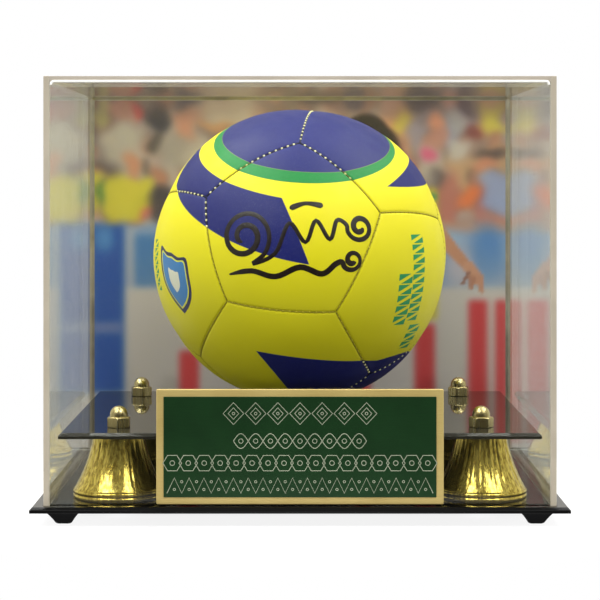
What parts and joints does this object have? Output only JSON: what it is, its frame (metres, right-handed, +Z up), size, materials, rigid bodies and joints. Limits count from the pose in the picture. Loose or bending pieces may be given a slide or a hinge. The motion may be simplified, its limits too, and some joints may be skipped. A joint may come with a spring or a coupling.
{
  "type": "football display case",
  "caption": "Clear lift-off cover with a picture back and a plaque over a black bevelled base; a raised platform on flared risers holds a football in a ring.",
  "frame": {"origin": "middle of the footprint, on the surface that the feet stand on", "axes": "+X to the case's right along its length, +Y towards the picture back, +Z up"},
  "size_m": [0.365, 0.293, 0.3047],
  "materials": {
    "black_acrylic": "polished black sheet with bevelled rim",
    "clear_acrylic": "clear polished sheet with satin cut edges",
    "foot_rubber": "matte black bumper",
    "gold_plated_plastic": "bright gold plating over moulded plastic",
    "polished_brass": "polished, slightly tarnished",
    "zinc_steel": "zinc plated",
    "photo_print": "glossy photographic print on card",
    "foam_tape": "white foam tape",
    "brushed_gold": "brushed gold",
    "green_anodised": "dark green anodised, engraved",
    "ball_skin": "yellow, blue and green printed synthetic leather",
    "bladder_rubber": "black butyl"
  },
  "bodies": {
    "stand": {"base_plate": "black_acrylic", "platform": "black_acrylic", "ball_ring": "black_acrylic", "foot_front_left": "foot_rubber", "foot_front_right": "foot_rubber", "foot_rear_left": "foot_rubber", "foot_rear_right": "foot_rubber", "riser_front_left": "gold_plated_plastic", "riser_front_right": "gold_plated_plastic", "riser_rear_left": "gold_plated_plastic", "riser_rear_right": "gold_plated_plastic", "base_washer_front_left": "zinc_steel", "base_washer_front_right": "zinc_steel", "base_washer_rear_left": "zinc_steel", "base_washer_rear_right": "zinc_steel", "riser_bolt_front_left": "zinc_steel", "riser_bolt_front_right": "zinc_steel", "riser_bolt_rear_left": "zinc_steel", "riser_bolt_rear_right": "zinc_steel", "acorn_nut_front_left": "polished_brass", "acorn_nut_front_right": "polished_brass", "acorn_nut_rear_left": "polished_brass", "acorn_nut_rear_right": "polished_brass"},
    "cover": {"backdrop_print": "photo_print", "cover_back": "clear_acrylic", "cover_front": "clear_acrylic", "cover_left": "clear_acrylic", "cover_right": "clear_acrylic", "cover_top": "clear_acrylic", "plaque_backplate": "brushed_gold", "plaque_faceplate": "green_anodised", "plaque_tape": "foam_tape"},
    "ball": {"ball_bladder": "bladder_rubber", "ball_panel_01": "ball_skin", "ball_panel_02": "ball_skin", "ball_panel_03": "ball_skin", "ball_panel_04": "ball_skin", "ball_panel_05": "ball_skin", "ball_panel_06": "ball_skin", "ball_panel_07": "ball_skin", "ball_panel_08": "ball_skin", "ball_panel_09": "ball_skin", "ball_panel_10": "ball_skin", "ball_panel_11": "ball_skin", "ball_panel_12": "ball_skin", "ball_valve": "bladder_rubber"}
  },
  "joints": [
    {"name": "cover_lift", "type": "slide", "parent": "stand", "child": "cover", "axis": [0, 0, 1], "range_m": [0, 0.3]},
    {"name": "ball_turn", "type": "hinge", "parent": "stand", "child": "ball", "pos_m": [0, 0, 0.1777], "axis": [0, 0, 1], "continuous": true}
  ]
}
